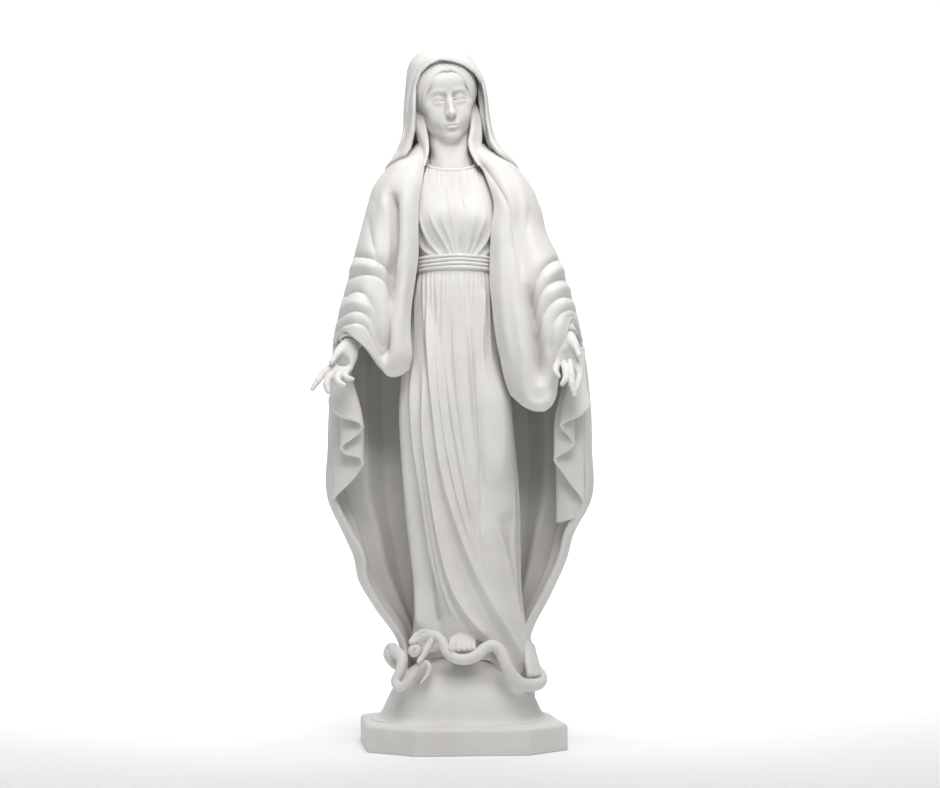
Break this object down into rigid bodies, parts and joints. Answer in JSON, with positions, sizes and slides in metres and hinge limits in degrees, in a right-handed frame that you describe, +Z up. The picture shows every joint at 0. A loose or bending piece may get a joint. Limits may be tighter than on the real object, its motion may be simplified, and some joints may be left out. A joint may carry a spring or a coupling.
{
  "type": "madonna statue",
  "caption": "Standing draped madonna statue with open hands, on a globe with a serpent and an octagonal plinth.",
  "frame": {"origin": "middle of the plinth's underside", "axes": "+Z up, -Y out of the plinth's front face, the figure turned 6 degrees about Z towards -X"},
  "size_m": [0.3987, 0.296, 1],
  "materials": {
    "cast_stone": "matt ivory-white marble-dust resin casting",
    "steel": "zinc-plated mild steel",
    "brass": "plain brass",
    "plywood": "unsealed plywood",
    "cement": "rough poured cement"
  },
  "bodies": {
    "root": {"plinth": "cast_stone", "globe": "cast_stone", "left_hand": "cast_stone", "left_cuff": "cast_stone", "left_mantle_drape": "cast_stone", "right_hand": "cast_stone", "right_cuff": "cast_stone", "right_mantle_drape": "cast_stone", "gown_skirt": "cast_stone", "sash": "cast_stone", "gown_bodice": "cast_stone", "neckband": "cast_stone", "head": "cast_stone", "hair": "cast_stone", "veil": "cast_stone", "mantle_back": "cast_stone", "left_mantle_fall": "cast_stone", "right_mantle_fall": "cast_stone", "serpent_front": "cast_stone", "serpent_tail": "cast_stone", "serpent_head": "cast_stone", "apple": "cast_stone", "left_foot": "cast_stone", "right_foot": "cast_stone", "post_flange": "steel", "armature_post": "steel", "shoulder_bar": "steel", "neck_dowel": "steel", "left_arm_rod": "steel", "right_arm_rod": "steel", "flange_bolt_1": "steel", "flange_bolt_2": "steel", "flange_bolt_3": "steel", "flange_bolt_4": "steel", "flange_nut_1": "steel", "flange_nut_2": "steel", "flange_nut_3": "steel", "flange_nut_4": "steel", "anchor_insert_1": "steel", "anchor_insert_2": "steel", "anchor_insert_3": "steel", "anchor_insert_4": "steel", "left_wrist_dowel": "brass", "right_wrist_dowel": "brass", "board_screw_1": "brass", "board_screw_2": "brass", "board_screw_3": "brass", "board_screw_4": "brass", "base_board": "plywood", "ballast": "cement"}
  },
  "joints": []
}
